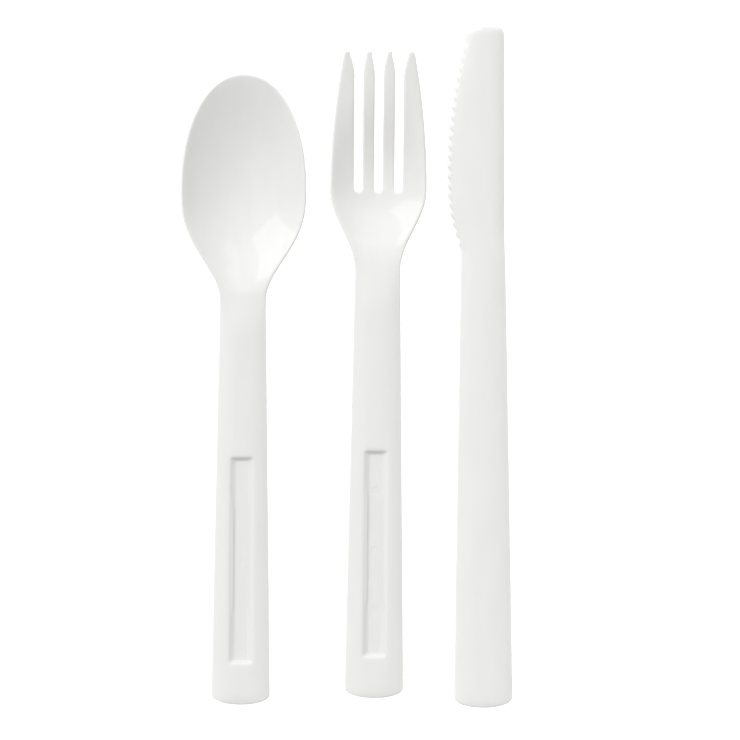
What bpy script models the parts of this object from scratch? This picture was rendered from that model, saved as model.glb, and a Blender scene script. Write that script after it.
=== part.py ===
"""A travel cutlery set: a spoon, a fork and a knife, lying side by side on their undersides.

Each is one moulding of glossy white plastic. All three have the same handle: a domed shell with
side walls that reach down to the table. The spoon and the fork have a long recess near the handle's
end, with a snap bead on each long wall, where the next piece clips in. The floor is z = 0, each
utensil lies along +Y with its head at the far end, and the set is centred on the origin.
"""

import bisect
import math

import bmesh
import bpy
from mathutils import Matrix, Vector

# Handle, the same on all three
HANDLE_WIDTH = 0.0166  # across the rim, at the end
HANDLE_TAPER = 0.0323  # width lost for each unit of length
HANDLE_END_ROUND = 0.0029  # how far the end bulges out in plan
HANDLE_EDGE = 0.0032  # height of the side walls
HANDLE_CROWN = 0.0008  # how far the dome rises above the side walls
HANDLE_END_SLOPE = 0.0050  # length over which the dome rises from the end
SHOULDER = 0.0011  # width in plan of the rounded, drafted side wall
SIDE_WALL = 0.0009  # thickness of a side wall at its foot
WALL = 0.0012  # thickness of the dome and of the bowl

# Recess near the handle's end, on the spoon and the fork
RECESS_START = 0.0118
RECESS_LENGTH = 0.0568
RECESS_WIDTH = 0.0067  # at the mouth
RECESS_FLOOR_WIDTH = 0.0045
RECESS_FLOOR = 0.0013  # thickness of the floor, whose underside stands on the table
RECESS_WALL = 0.0010
RECESS_CORNER = 0.0010
BEAD_LENGTH = 0.0288
BEAD_REACH = 0.0006  # how far a snap bead stands into the recess
BEAD_DROP = 0.0009  # depth of the bead's nose below the recess's mouth

# Spoon
SPOON_LENGTH = 0.1754
BOWL_WIDTH = 0.0351
BOWL_TIP_REACH = 0.0324  # from the tip to the widest place
BOWL_LENGTH = 0.0629  # from the tip to the neck
BOWL_FULLNESS = 2.12  # power of the tip's rounding, 2 for an ellipse
BOWL_SWELL = 1.35  # how late the bowl narrows towards the neck
BOWL_DEPTH = 0.0062
SPOON_NECK_EDGE = 0.0080  # height of the edge at the neck
SPOON_TIP_EDGE = 0.0069

# Fork
FORK_LENGTH = 0.1800
FORK_WIDTH = 0.0270
FORK_TIP_WIDTH = 0.0196
FORK_TIP_REACH = 0.0387  # from the tips to the widest place
FORK_HEAD_LENGTH = 0.0610  # from the tips to the neck
FORK_TIP_POWER = 1.95
FORK_CORNER = 0.0010
FORK_DISH = 0.0017  # how far the head is hollowed between its edges
FORK_TIP_DISH = 0.0006
FORK_THICKNESS = 0.0015
FORK_NECK_EDGE = 0.0078
FORK_TIP_EDGE = 0.0062
TINE_COUNT = 4
SLOT_WIDTH = 0.0022
SLOT_LENGTH = 0.0392
SLOT_PITCH = 0.0055
TINE_POINT = 0.0070  # length over which the tines narrow
TINE_TIP_WIDTH = 0.0017

# Knife
KNIFE_LENGTH = 0.1896
BLADE_LENGTH = 0.0625  # from the tip to the heel, where the blade leaves the handle
BLADE_BELLY = 0.0103  # from the axis to the cutting edge, at the widest
BLADE_BELLY_REACH = 0.0414  # from the tip to the widest place
BLADE_TIP_NARROWING = 0.0060  # what the cutting edge draws in towards the tip
SPINE = 0.0060  # from the axis to the spine
SPINE_CORNER = 0.0022
EDGE_CORNER_WIDTH = 0.0039
EDGE_CORNER_LENGTH = 0.0030
BLADE_EDGE = 0.0028  # height of the blade's spine
BEVEL_DROP = 0.0012  # how far the face falls to the cutting edge
BEVEL_WIDTH = 0.0022
EDGE_THICKNESS = 0.0005
TOOTH_PITCH = 0.00272
TOOTH_DEPTH = 0.0009
TOOTH_COUNT = 21
TOOTH_START = 0.0035  # from the tip to the first tooth
TOOTH_LEAN = 1.25  # 1 for even gullets, more for teeth that lean to the handle

# Where each handle's end lies, and how far its axis is turned
SPOON_PLACE = (-0.02947, -0.09394)
FORK_PLACE = (0.00742, -0.09212)
KNIFE_PLACE = (0.03785, -0.09480)
SPOON_TURN = math.radians(-0.36)
FORK_TURN = math.radians(-0.52)

# How finely the shapes are divided
OUTLINE_POINTS = 400
COLUMNS = 12
CAP_BEND = 0.0080  # length over which the rows turn from straight into an end's curve
TIP_CAP = 0.0012
SLOT_ROUND_STEPS = 8
GULLET_STEPS = 5

PLASTIC_COLOUR = (0.84, 0.84, 0.82, 1.0)
PLASTIC_ROUGHNESS = 0.22


def ease(low, high, value):
    """0 below low, 1 above high and a smooth rise between them."""
    share = min(max((value - low) / (high - low), 0.0), 1.0)
    return share * share * (3.0 - 2.0 * share)


def mix(start, end, share):
    return start + (end - start) * share


def through(keys, place):
    """A smooth line through (place, height) keys, level at each of them."""
    height = keys[0][1]
    for (low, _), (high, top) in zip(keys, keys[1:]):
        height = mix(height, top, ease(low, high, place))
    return height


def rounded(share, power):
    """Height of a superellipse's quarter at a share of its reach from the middle."""
    return (1.0 - min(max(share, 0.0), 1.0) ** power) ** (1.0 / power)


def handle_half(place):
    """Half the handle's width at a distance from its end."""
    half = (HANDLE_WIDTH - HANDLE_TAPER * place) / 2
    return half * rounded(1.0 - place / HANDLE_END_ROUND, 2.0)


def handle_crown(place):
    """Rise of the handle's dome at a distance from its end."""
    return HANDLE_CROWN * rounded(1.0 - place / HANDLE_END_SLOPE, 2.0)


class Outline:
    """One side of a utensil's outline in plan, from the middle of its end to the middle of its tip."""

    def __init__(self, points):
        self.points = points
        self.places = [y for _, y in points]

    @classmethod
    def of(cls, half_width, length):
        """The outline of a half width given as a function, closest in points at both ends."""
        points = []
        for step in range(OUTLINE_POINTS + 1):
            place = length * (1.0 - math.cos(math.pi * step / OUTLINE_POINTS)) / 2
            points.append((half_width(place), place))
        return cls([(0.0, 0.0)] + points[1:-1] + [(points[-1][0], length), (0.0, length)])

    def inset(self, distance):
        """The same outline drawn in by a distance along its normals."""
        moved = []
        last = len(self.points) - 1
        for index, (x, y) in enumerate(self.points):
            before = self.points[max(index - 1, 0)]
            after = self.points[min(index + 1, last)]
            along = Vector((after[0] - before[0], after[1] - before[1]))
            if index in (0, last) or along.length == 0.0:
                along = Vector((1.0, 0.0)) if index < last / 2 else Vector((-1.0, 0.0))
            along.normalize()
            point = (max(x - along.y * distance, 0.0), y + along.x * distance)
            if not moved or point[1] > moved[-1][1]:
                moved.append(point)
        return Outline(moved)

    def half(self, place):
        """Half width at a place."""
        index = min(max(bisect.bisect_left(self.places, place), 1), len(self.places) - 1)
        (x0, y0), (x1, y1) = self.points[index - 1], self.points[index]
        share = 0.0 if y1 <= y0 else min(max((place - y0) / (y1 - y0), 0.0), 1.0)
        return mix(x0, x1, share)

    def bulge(self, start, half, outward):
        """How far the outline reaches past start at a half width, towards its tip or its end."""
        low, high = start, self.places[-1] if outward > 0 else self.places[0]
        for _ in range(40):
            middle = (low + high) / 2
            if self.half(middle) > half:
                low = middle
            else:
                high = middle
        return abs(low - start)


class Form:
    """A utensil's shape: its two side outlines, and its heights as functions of place."""

    def __init__(self, right, left, edge, crown, skirt, wall, rows):
        self.right = right.inset(SHOULDER)
        self.left = left.inset(SHOULDER)
        self.edge = edge
        self.crown = crown
        self.skirt = skirt
        self.wall = wall
        first = self.right.places[0] + HANDLE_END_ROUND
        last = self.right.places[-1] - TIP_CAP
        self.rows = [first] + [row for row in rows if first < row < last] + [last]

    def at(self, row, column):
        """Plan position of the skin's point at a row and at a column from -1, left, to 1, right."""
        place = self.rows[row]
        first, last = self.rows[0], self.rows[-1]
        x = self.across(place, column)
        end_bend = 1.0 - ease(first, first + CAP_BEND, place)
        tip_bend = ease(last - CAP_BEND, last, place)
        y = place
        if end_bend:
            reach = self.across(first, column)
            y -= end_bend * self.side(reach).bulge(first, abs(reach), -1)
        if tip_bend:
            reach = self.across(last, column)
            y += tip_bend * self.side(reach).bulge(last, abs(reach), 1)
        return x, y

    def side(self, x):
        return self.right if x >= 0 else self.left

    def across(self, place, column):
        return mix(-self.left.half(place), self.right.half(place), (column + 1) / 2)

    def height(self, x, y):
        """Height of the skin at a plan position."""
        half = self.side(x).half(y)
        share = min(abs(x) / half, 1.0) if half > 1e-7 else 1.0
        return self.edge(y) + self.crown(y) * (1.0 - share * share)


def grid_skin(mesh, form):
    """The top skin, as a grid whose end rows follow the outline's ends."""
    made = bmesh.ops.create_grid(
        mesh, x_segments=COLUMNS, y_segments=len(form.rows) - 1, size=1.0
    )
    for vert in made["verts"]:
        row = round((vert.co.y + 1) / 2 * (len(form.rows) - 1))
        column = math.sin(vert.co.x * math.pi / 2)
        x, y = form.at(row, column)
        vert.co = (x, y, form.height(x, y))


def boundary_loop(mesh):
    """The open edge's vertices, in order."""
    edges = [edge for edge in mesh.edges if edge.is_boundary]
    start = edges[0].verts[0]
    loop, edge = [start], edges[0]
    while True:
        vert = edge.other_vert(loop[-1])
        if vert is start:
            return loop
        loop.append(vert)
        edge = next(e for e in vert.link_edges if e.is_boundary and e is not edge)


def outward(loop):
    """The plan normal at each vertex of a loop, away from the shape."""
    count = len(loop)
    area = sum(
        loop[i].co.x * loop[(i + 1) % count].co.y - loop[(i + 1) % count].co.x * loop[i].co.y
        for i in range(count)
    )
    turn = math.copysign(1.0, area)
    normals = []
    for index in range(count):
        along = loop[(index + 1) % count].co - loop[index - 1].co
        normals.append(Vector((along.y, -along.x, 0.0)).normalized() * turn)
    return normals


def rim_rings(form, vert, normal, wall_ring):
    """Where the side wall's rings lie for one vertex of the skin's edge."""
    top = vert.z + (form.wall(vert.y) if wall_ring else 0.0)
    drop = min(form.skirt(vert.x, vert.y), top)
    if wall_ring:
        foot = vert + normal * (SHOULDER - SIDE_WALL)
        return [Vector((foot.x, foot.y, top - drop))]
    shares = ((0.62, 0.12), (0.90, 0.38), (1.00, 1.00))
    return [vert + normal * SHOULDER * out - Vector((0, 0, drop * down)) for out, down in shares]


def wall_down(mesh, form, wall_ring):
    """Extrudes the skin's open edge through the rings of the side wall."""
    loop = boundary_loop(mesh)
    normals = outward(loop)
    rings = [
        rim_rings(form, vert.co.copy(), normal, wall_ring)
        for vert, normal in zip(loop, normals)
    ]
    for level in range(len(rings[0])):
        places = {vert: ring[level] for vert, ring in zip(loop, rings)}
        edges = [edge for edge in mesh.edges if edge.is_boundary]
        made = bmesh.ops.extrude_edge_only(mesh, edges=edges)["geom"]
        fresh = {item for item in made if isinstance(item, bmesh.types.BMVert)}
        partner = {
            next(e.other_vert(v) for e in v.link_edges if e.other_vert(v) not in fresh): v
            for v in fresh
        }
        for vert, place in places.items():
            partner[vert].co = place
        loop = [partner[vert] for vert in loop]


def shell_mesh(form):
    """The skin, its underside one wall thickness below, and the side wall between them."""
    mesh = bmesh.new()
    grid_skin(mesh, form)
    under = mesh.copy()
    for vert in under.verts:
        vert.co.z -= form.wall(vert.co.y)
    wall_down(mesh, form, wall_ring=False)
    wall_down(under, form, wall_ring=True)
    bmesh.ops.reverse_faces(under, faces=under.faces)
    spare = bpy.data.meshes.new("underside")
    under.to_mesh(spare)
    under.free()
    mesh.from_mesh(spare)
    bpy.data.meshes.remove(spare)
    bmesh.ops.bridge_loops(mesh, edges=[edge for edge in mesh.edges if edge.is_boundary])
    bmesh.ops.recalc_face_normals(mesh, faces=mesh.faces)
    return mesh


def plastic(name):
    """Glossy white moulded plastic."""
    material = bpy.data.materials.new(name)
    material.use_nodes = True
    shader = material.node_tree.nodes["Principled BSDF"]
    shader.inputs["Base Color"].default_value = PLASTIC_COLOUR
    shader.inputs["Roughness"].default_value = PLASTIC_ROUGHNESS
    shader.inputs["Metallic"].default_value = 0.0
    return material


def object_of(name, mesh, collection):
    data = bpy.data.meshes.new(name)
    mesh.to_mesh(data)
    mesh.free()
    data.shade_smooth()
    data.set_sharp_from_angle(angle=math.radians(40))
    made = bpy.data.objects.new(name, data)
    collection.objects.link(made)
    return made


def utensil(name, form, collection, place, turn):
    """A shell as a named object, placed by its handle's end."""
    made = object_of(name, shell_mesh(form), collection)
    made.location = (*place, 0.0)
    made.rotation_euler = (0.0, 0.0, turn)
    made.data.materials.append(plastic(name + "_plastic"))
    return made


def combine(piece, tool, operation):
    """Joins or cuts a piece with a tool that moves with it."""
    tool.parent = piece
    tool.hide_render = True
    tool.display_type = "WIRE"
    step = piece.modifiers.new(tool.name, "BOOLEAN")
    step.operation = operation
    step.object = tool


def block(width, length, low_width, low_length, bottom, top, corner):
    """A block that narrows downwards, its upright edges rounded, centred in plan."""
    mesh = bmesh.new()
    bmesh.ops.create_cube(mesh, size=1.0)
    for vert in mesh.verts:
        upper = vert.co.z > 0
        vert.co.x *= width if upper else low_width
        vert.co.y *= length if upper else low_length
        vert.co.z = top if upper else bottom
    upright = [e for e in mesh.edges if abs(e.verts[0].co.z - e.verts[1].co.z) > 1e-6]
    bmesh.ops.bevel(
        mesh, geom=upright, offset=corner, segments=3, profile=0.5, affect="EDGES", material=-1
    )
    return mesh


def slab(name, outline, thickness, collection):
    """A closed flat outline as a solid that reaches half its thickness up and down."""
    curve = bpy.data.curves.new(name, "CURVE")
    curve.dimensions = "2D"
    curve.fill_mode = "BOTH"
    curve.extrude = thickness / 2
    line = curve.splines.new("POLY")
    line.points.add(len(outline) - 1)
    for point, (x, y) in zip(line.points, outline):
        point.co = (x, y, 0.0, 1.0)
    line.use_cyclic_u = True
    flat = bpy.data.objects.new(name, curve)
    collection.objects.link(flat)
    bpy.context.view_layer.update()
    graph = bpy.context.evaluated_depsgraph_get()
    data = bpy.data.meshes.new_from_object(flat.evaluated_get(graph))
    bpy.data.objects.remove(flat)
    mesh = bmesh.new()
    mesh.from_mesh(data)
    bpy.data.meshes.remove(data)
    bmesh.ops.remove_doubles(mesh, verts=mesh.verts, dist=1e-6)
    bmesh.ops.recalc_face_normals(mesh, faces=mesh.faces)
    return object_of(name, mesh, collection)


def bead_mesh(side, mouth):
    """A snap bead: sloped above for the lead-in, its nose undercut below."""
    half = RECESS_WIDTH / 2
    slant = (RECESS_WIDTH - RECESS_FLOOR_WIDTH) / 2 / (mouth - RECESS_FLOOR)
    root = half + RECESS_WALL / 2
    nose = half - BEAD_DROP * slant - BEAD_REACH
    profile = (
        (root, mouth),
        (nose, mouth - BEAD_DROP),
        (nose, mouth - BEAD_DROP * 1.35),
        (root, mouth - BEAD_DROP * 2),
    )
    mesh = bmesh.new()
    ring = [mesh.verts.new((side * x, -BEAD_LENGTH / 2, z)) for x, z in profile]
    face = mesh.faces.new(ring)
    made = bmesh.ops.extrude_face_region(mesh, geom=[face])["geom"]
    fresh = [item for item in made if isinstance(item, bmesh.types.BMVert)]
    bmesh.ops.translate(mesh, verts=fresh, vec=(0.0, BEAD_LENGTH, 0.0))
    bmesh.ops.recalc_face_normals(mesh, faces=mesh.faces)
    return mesh


def add_recess(piece, form, tools):
    """The recess's box under the dome, its pocket and its two snap beads."""
    middle = RECESS_START + RECESS_LENGTH / 2
    outer = RECESS_WIDTH / 2 + RECESS_WALL
    # The handle is narrowest at the recess's far end, so the dome is lowest over the box there.
    far = RECESS_START + RECESS_LENGTH + RECESS_WALL
    mouth = min(form.height(outer, far), form.height(outer, RECESS_START - RECESS_WALL)) - WALL / 4
    narrowing = RECESS_WIDTH - RECESS_FLOOR_WIDTH
    box = block(
        2 * outer,
        RECESS_LENGTH + 2 * RECESS_WALL,
        2 * outer - narrowing,
        RECESS_LENGTH + 2 * RECESS_WALL - narrowing / 2,
        0.0,
        mouth,
        RECESS_CORNER,
    )
    # The pocket runs on above the dome at the same slant, so its mouth is cut clean.
    above = HANDLE_EDGE + 2 * HANDLE_CROWN + WALL
    grown = narrowing * (above - mouth) / (mouth - RECESS_FLOOR)
    pocket = block(
        RECESS_WIDTH + grown,
        RECESS_LENGTH + grown / 2,
        RECESS_FLOOR_WIDTH,
        RECESS_LENGTH - narrowing / 2,
        RECESS_FLOOR,
        above,
        RECESS_CORNER / 2,
    )
    centred = Matrix.Translation((0.0, middle, 0.0))
    for label, mesh, operation in (
        ("box", box, "UNION"),
        ("pocket", pocket, "DIFFERENCE"),
        ("bead_left", bead_mesh(-1, mouth), "UNION"),
        ("bead_right", bead_mesh(1, mouth), "UNION"),
    ):
        mesh.transform(centred)
        combine(piece, object_of(f"{piece.name}_{label}", mesh, tools), operation)


def handle_rows():
    """Stations along the handle: close at its end, wide along its straight run."""
    near = [HANDLE_END_ROUND + SHOULDER + 0.0012 * step for step in range(1, 5)]
    return near + [0.0125, 0.030, 0.050, 0.070]


def head_rows(start, end, count):
    """Evenly spaced stations from start to end."""
    return [mix(start, end, step / count) for step in range(count)]


def spoon_form():
    neck = SPOON_LENGTH - BOWL_LENGTH
    widest = SPOON_LENGTH - BOWL_TIP_REACH
    rise_start = RECESS_START + RECESS_LENGTH + RECESS_WALL

    def half_width(place):
        if place <= neck:
            return handle_half(place)
        if place >= widest:
            return BOWL_WIDTH / 2 * rounded((place - widest) / BOWL_TIP_REACH, BOWL_FULLNESS)
        share = ((widest - place) / (widest - neck)) ** BOWL_SWELL
        swell = (1.0 + math.cos(math.pi * share)) / 2
        return mix(handle_half(neck), BOWL_WIDTH / 2, swell)

    bowl_edge = BOWL_DEPTH + WALL
    edge_line = (
        (rise_start, HANDLE_EDGE),
        (neck + 0.006, SPOON_NECK_EDGE),
        (widest, bowl_edge),
        (SPOON_LENGTH, SPOON_TIP_EDGE),
    )
    skirt_line = (
        (rise_start, HANDLE_EDGE),
        (neck, HANDLE_EDGE * 0.7),
        (neck + 0.014, WALL * 0.75),
    )

    def crown(place):
        if place >= widest:
            reach = SPOON_LENGTH - SHOULDER - widest
            return -BOWL_DEPTH * max(1.0 - ((place - widest) / reach) ** 2, 0.0) ** 0.85
        share = min((widest - place) / (widest - neck + 0.002), 1.0)
        dish = BOWL_DEPTH * (1.0 - share * share) ** 1.3
        return handle_crown(place) * (1.0 - ease(neck - 0.012, neck + 0.008, place)) - dish

    outline = Outline.of(half_width, SPOON_LENGTH)
    rows = (
        handle_rows()
        + head_rows(0.082, neck, 4)
        + head_rows(neck, widest, 11)
        + head_rows(widest, SPOON_LENGTH - 0.008, 6)
        + head_rows(SPOON_LENGTH - 0.008, SPOON_LENGTH, 5)
    )
    return Form(
        outline,
        outline,
        lambda place: through(edge_line, place),
        crown,
        lambda x, y: through(skirt_line, y),
        lambda place: WALL,
        rows,
    )


def fork_form():
    neck = FORK_LENGTH - FORK_HEAD_LENGTH
    widest = FORK_LENGTH - FORK_TIP_REACH
    rise_start = RECESS_START + RECESS_LENGTH + RECESS_WALL

    def half_width(place):
        if place <= neck:
            return handle_half(place)
        if place < widest:
            swell = (1.0 - math.cos(math.pi * (place - neck) / (widest - neck))) / 2
            return mix(handle_half(neck), FORK_WIDTH / 2, swell)
        share = ((place - widest) / FORK_TIP_REACH) ** FORK_TIP_POWER
        half = mix(FORK_WIDTH, FORK_TIP_WIDTH, share) / 2
        corner = rounded((place - FORK_LENGTH + FORK_CORNER) / FORK_CORNER, 2.0)
        return half - FORK_CORNER * (1.0 - corner)

    edge_line = (
        (rise_start, HANDLE_EDGE),
        (neck, FORK_NECK_EDGE),
        (widest + 0.004, FORK_DISH + FORK_THICKNESS),
        (FORK_LENGTH, FORK_TIP_EDGE),
    )
    skirt_line = (
        (rise_start, HANDLE_EDGE),
        (neck, HANDLE_EDGE * 0.7),
        (neck + 0.016, FORK_THICKNESS * 0.75),
    )
    dish_line = (
        (neck - 0.008, 0.0),
        (widest - 0.006, FORK_DISH),
        (widest + 0.010, FORK_DISH),
        (FORK_LENGTH, FORK_TIP_DISH),
    )

    def crown(place):
        dome = handle_crown(place) * (1.0 - ease(neck - 0.012, neck + 0.006, place))
        return dome - through(dish_line, place)

    outline = Outline.of(half_width, FORK_LENGTH)
    rows = (
        handle_rows()
        + head_rows(0.082, neck, 4)
        + head_rows(neck, widest, 10)
        + head_rows(widest, FORK_LENGTH, 11)
    )
    return Form(
        outline,
        outline,
        lambda place: through(edge_line, place),
        crown,
        lambda x, y: through(skirt_line, y),
        lambda place: mix(WALL, FORK_THICKNESS, ease(neck - 0.01, neck + 0.01, place)),
        rows,
    )


def cutting_half(place):
    """From the knife's axis to the line of its tooth tips."""
    heel = KNIFE_LENGTH - BLADE_LENGTH
    widest = KNIFE_LENGTH - BLADE_BELLY_REACH
    if place <= heel:
        return handle_half(place)
    if place < widest:
        share = ((widest - place) / (widest - heel)) ** 2.4
        return mix(BLADE_BELLY, handle_half(heel), share)
    return BLADE_BELLY - BLADE_TIP_NARROWING * ((place - widest) / BLADE_BELLY_REACH) ** 1.95


def knife_form():
    heel = KNIFE_LENGTH - BLADE_LENGTH

    def left_half(place):
        corner_start = KNIFE_LENGTH - EDGE_CORNER_LENGTH
        round_off = 1.0 - rounded((place - corner_start) / EDGE_CORNER_LENGTH, 2.0)
        return cutting_half(place) - EDGE_CORNER_WIDTH * round_off

    def right_half(place):
        round_off = 1.0 - rounded((place - KNIFE_LENGTH + SPINE_CORNER) / SPINE_CORNER, 2.0)
        straight = mix(handle_half(place), SPINE, ease(heel - 0.010, heel + 0.010, place))
        return straight - SPINE_CORNER * round_off

    edge_line = ((heel - 0.010, HANDLE_EDGE), (heel + 0.010, BLADE_EDGE))

    def blade(place):
        return ease(heel - 0.002, heel + 0.012, place)

    def crown(place):
        reach = KNIFE_LENGTH - SHOULDER
        return handle_crown(place) * rounded((place - reach + 0.004) / 0.004, 2.0)

    def skirt(x, y):
        full = through(edge_line, y)
        side = ease(0.0, SPINE, -x)
        return mix(full, EDGE_THICKNESS, blade(y) * side)

    form = Form(
        Outline.of(right_half, KNIFE_LENGTH),
        Outline.of(left_half, KNIFE_LENGTH),
        lambda place: through(edge_line, place),
        crown,
        skirt,
        lambda place: WALL,
        handle_rows()
        + head_rows(0.085, heel - 0.008, 3)
        + head_rows(heel - 0.008, heel + 0.016, 9)
        + head_rows(heel + 0.016, KNIFE_LENGTH - 0.006, 8)
        + head_rows(KNIFE_LENGTH - 0.006, KNIFE_LENGTH, 5),
    )
    plain_height = form.height

    def height(x, y):
        """The handle's dome, run on into the blade, with the face falling to the cutting edge."""
        inward = form.left.half(min(y, form.rows[-1])) + x
        fall = 1.0 - ease(0.0, BEVEL_WIDTH, inward)
        return plain_height(x, y) - BEVEL_DROP * fall * blade(y)

    form.height = height
    return form


def add_slots(fork, tools):
    """The gaps between the tines: straight with a round end, then wider where the tines narrow."""
    root = FORK_LENGTH - SLOT_LENGTH
    centre = root + SLOT_WIDTH / 2
    mouth = SLOT_PITCH - TINE_TIP_WIDTH
    for index in range(TINE_COUNT - 1):
        middle = (index - (TINE_COUNT - 2) / 2) * SLOT_PITCH
        arc = [math.pi * step / SLOT_ROUND_STEPS for step in range(SLOT_ROUND_STEPS + 1)]
        outline = [
            (-SLOT_WIDTH / 2 * math.cos(angle), centre - SLOT_WIDTH / 2 * math.sin(angle))
            for angle in arc
        ]
        outline += [
            (SLOT_WIDTH / 2, FORK_LENGTH - TINE_POINT),
            (mouth / 2, FORK_LENGTH - TINE_TIP_WIDTH / 4),
            (mouth / 2 + TINE_TIP_WIDTH / 4, FORK_LENGTH + TINE_TIP_WIDTH / 4),
            (-mouth / 2 - TINE_TIP_WIDTH / 4, FORK_LENGTH + TINE_TIP_WIDTH / 4),
            (-mouth / 2, FORK_LENGTH - TINE_TIP_WIDTH / 4),
            (-SLOT_WIDTH / 2, FORK_LENGTH - TINE_POINT),
        ]
        placed = [(x + middle, y) for x, y in outline]
        cutter = slab(f"slot_{index + 1}", placed, 4 * FORK_NECK_EDGE, tools)
        combine(fork, cutter, "DIFFERENCE")


def add_teeth(knife, tools):
    """The serrated edge: one scalloped strip cut away from along the line of the tooth tips."""
    first = KNIFE_LENGTH - TOOTH_START
    steps = TOOTH_COUNT * GULLET_STEPS
    inner = []
    for step in range(steps + 1):
        place = first - TOOTH_PITCH * step / GULLET_STEPS
        share = (step % GULLET_STEPS) / GULLET_STEPS
        depth = TOOTH_DEPTH * math.sin(math.pi * share**TOOTH_LEAN)
        inner.append((depth - cutting_half(place), place))
    clear = 3 * SHOULDER
    low, high = inner[-1], inner[0]
    outline = inner + [(low[0] - clear, low[1]), (-BLADE_BELLY - clear, low[1] + clear)]
    outline += [(-BLADE_BELLY - clear, high[1] - clear), (high[0] - clear, high[1])]
    combine(knife, slab("gullets", outline, 4 * HANDLE_EDGE, tools), "DIFFERENCE")


def main():
    for item in list(bpy.data.objects):
        bpy.data.objects.remove(item)
    scene = bpy.context.scene
    parts = bpy.data.collections.new("travel_cutlery_set")
    tools = bpy.data.collections.new("cutters")
    scene.collection.children.link(parts)
    scene.collection.children.link(tools)

    form = spoon_form()
    spoon = utensil("spoon", form, parts, SPOON_PLACE, SPOON_TURN)
    add_recess(spoon, form, tools)

    form = fork_form()
    fork = utensil("fork", form, parts, FORK_PLACE, FORK_TURN)
    add_recess(fork, form, tools)
    add_slots(fork, tools)

    knife = utensil("knife", knife_form(), parts, KNIFE_PLACE, 0.0)
    add_teeth(knife, tools)


if __name__ == "__main__":
    main()
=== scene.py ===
"""A travel cutlery set of glossy white plastic: a spoon, a fork and a knife, side by side.

Each utensil is one moulding. It starts as a grid over its plan, which is extruded up from its
underside through the rings of its side wall to the skin. The handle recess and the gaps between the
tines follow the grid's lines. All lengths are in metres.
"""

import bisect
import logging
import math
from collections.abc import Callable
from dataclasses import dataclass, field
from enum import Enum

import bmesh
import bpy
from mathutils import Matrix, Vector


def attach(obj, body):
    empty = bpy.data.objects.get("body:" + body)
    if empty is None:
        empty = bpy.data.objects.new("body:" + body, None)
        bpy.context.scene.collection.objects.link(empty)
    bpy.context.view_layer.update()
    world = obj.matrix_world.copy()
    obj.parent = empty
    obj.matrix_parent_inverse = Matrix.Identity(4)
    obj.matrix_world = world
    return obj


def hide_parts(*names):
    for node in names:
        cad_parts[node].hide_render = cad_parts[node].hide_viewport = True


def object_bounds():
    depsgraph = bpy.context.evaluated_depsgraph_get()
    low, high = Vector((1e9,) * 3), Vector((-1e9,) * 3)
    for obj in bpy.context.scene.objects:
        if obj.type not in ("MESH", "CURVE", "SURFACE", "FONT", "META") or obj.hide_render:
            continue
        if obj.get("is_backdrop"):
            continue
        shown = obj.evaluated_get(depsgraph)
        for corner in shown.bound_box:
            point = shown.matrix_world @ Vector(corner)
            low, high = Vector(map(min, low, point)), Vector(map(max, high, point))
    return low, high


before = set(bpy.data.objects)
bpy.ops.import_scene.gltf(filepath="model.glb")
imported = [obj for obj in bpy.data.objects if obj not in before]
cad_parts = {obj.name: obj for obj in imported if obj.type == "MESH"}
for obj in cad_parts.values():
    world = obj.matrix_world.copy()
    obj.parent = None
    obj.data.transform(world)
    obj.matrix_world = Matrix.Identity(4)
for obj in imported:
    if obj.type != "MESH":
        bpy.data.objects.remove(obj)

LOG = logging.getLogger("travel_cutlery_set")
COLUMNS = 14  # grid lines on each side of a utensil's axis
MOUTH_COLUMN = 6  # the grid line that runs along the recess's mouth
OUTLINE_POINTS = 500
BEVEL_COLUMN = 6  # the grid line that runs along the inner side of the knife's bevel
GAP_LINES = (2, 6, 10)  # the grid lines that run along the gaps between the tines
FIRST_ROW = 0.0046  # where the grid's first row lies, before it bends into the handle's end
CAP_BEND = 0.0080  # length over which the rows turn from straight into an end's curve
HALF_CORNER = math.radians(45)  # where a side's points and an end's points meet on a corner
TINY = 1e-7

Key = tuple[int, int]
Width = Callable[[float], float]


class Side(Enum):
    """A side of a utensil's axis, by the sign of its x."""

    LEFT = -1
    RIGHT = 1


class Mark(Enum):
    """What an ejector pin left on a recess's floor."""

    DOT = 0.00045
    DISC = 0.00115


def mix(start: float, end: float, share: float) -> float:
    """The value at a share of the way from start to end."""
    return start + (end - start) * share


def ease(low: float, high: float, value: float) -> float:
    """0 below low, 1 above high, and between them a rise without a break in its curvature."""
    share = min(max((value - low) / (high - low), 0.0), 1.0)
    return share**3 * (10.0 - 15.0 * share + 6.0 * share * share)


def ramp(value: float, softness: float) -> float:
    """0 for negative values and the value itself for positive ones, with a soft corner."""
    return (value + math.hypot(value, softness)) / 2


def rounded(share: float, power: float) -> float:
    """Height of a superellipse's quarter at a share of its reach from the middle."""
    return (1.0 - min(max(share, 0.0), 1.0) ** power) ** (1.0 / power)


def stations(start: float, spans: list[tuple[float, float]]) -> list[float]:
    """Places along a utensil, even within each span.

    Args:
        start: The first place.
        spans: For each span, the place where it ends and the widest step within it.

    Returns:
        The places in order, with each span's end among them.
    """
    places = [start]
    for end, step in spans:
        begin = places[-1]
        count = max(math.ceil((end - begin) / step - TINY), 1)
        places += [mix(begin, end, index / count) for index in range(1, count + 1)]
    return places


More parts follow.
